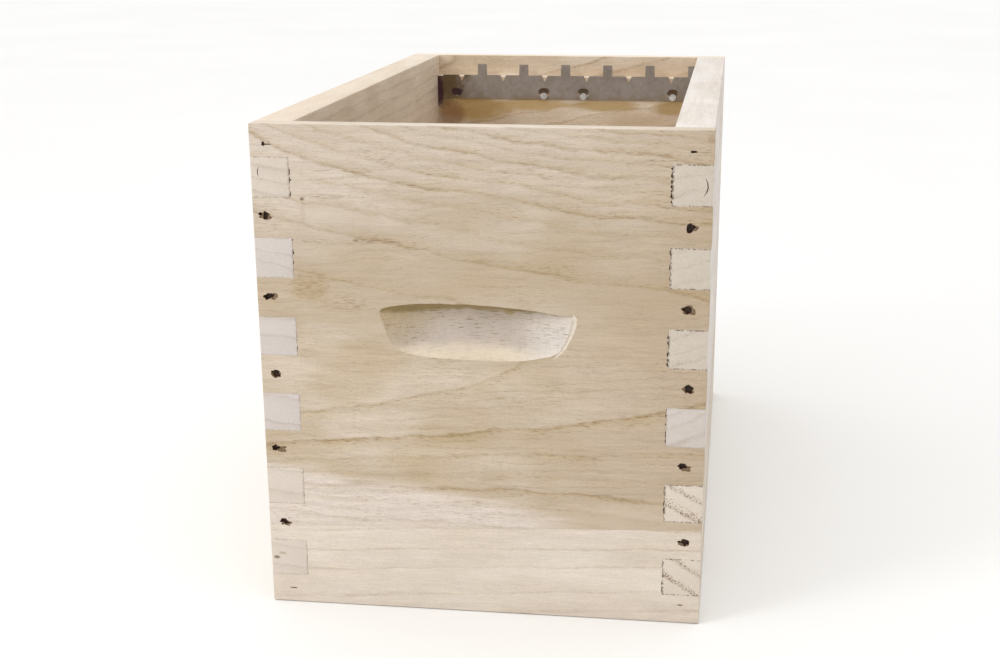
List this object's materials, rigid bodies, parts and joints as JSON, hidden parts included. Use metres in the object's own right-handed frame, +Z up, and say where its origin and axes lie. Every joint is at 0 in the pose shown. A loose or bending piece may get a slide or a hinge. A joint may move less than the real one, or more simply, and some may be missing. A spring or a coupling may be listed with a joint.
{
  "type": "beehive body",
  "caption": "Open wooden brood box with finger-jointed corners, milled end hand-holds and toothed metal frame spacers in rabbeted ends.",
  "frame": {"origin": "centre of the bottom face", "axes": "+Z up; +Y along the box's length, with the pictured end wall facing -Y; +X to the right seen from that end"},
  "size_m": [0.28, 0.5, 0.314],
  "materials": {
    "wood_tan": "planed, unfinished",
    "wood_pale": "planed, unfinished",
    "wood_side": "planed, unfinished",
    "spacer_sheet": "dull galvanised",
    "nail_steel": "dull, slightly rusted",
    "nail_bright": "bright zinc"
  },
  "bodies": {
    "root": {"front_plank_upper": "wood_tan", "front_plank_lower": "wood_pale", "back_plank_upper": "wood_tan", "back_plank_lower": "wood_pale", "left_plank_top": "wood_side", "left_plank_mid": "wood_side", "left_plank_low": "wood_side", "right_plank_top": "wood_side", "right_plank_mid": "wood_pale", "right_plank_low": "wood_side", "spacer_back": "spacer_sheet", "spacer_front": "spacer_sheet", "nails_front_left": "nail_steel", "nails_front_right": "nail_steel", "nails_back_left": "nail_steel", "nails_back_right": "nail_steel", "nails_left_side": "nail_steel", "nails_right_side": "nail_steel", "brads_front": "nail_steel", "brads_back": "nail_steel", "spacer_nails_back": "nail_bright", "spacer_nails_front": "nail_bright"}
  },
  "joints": []
}
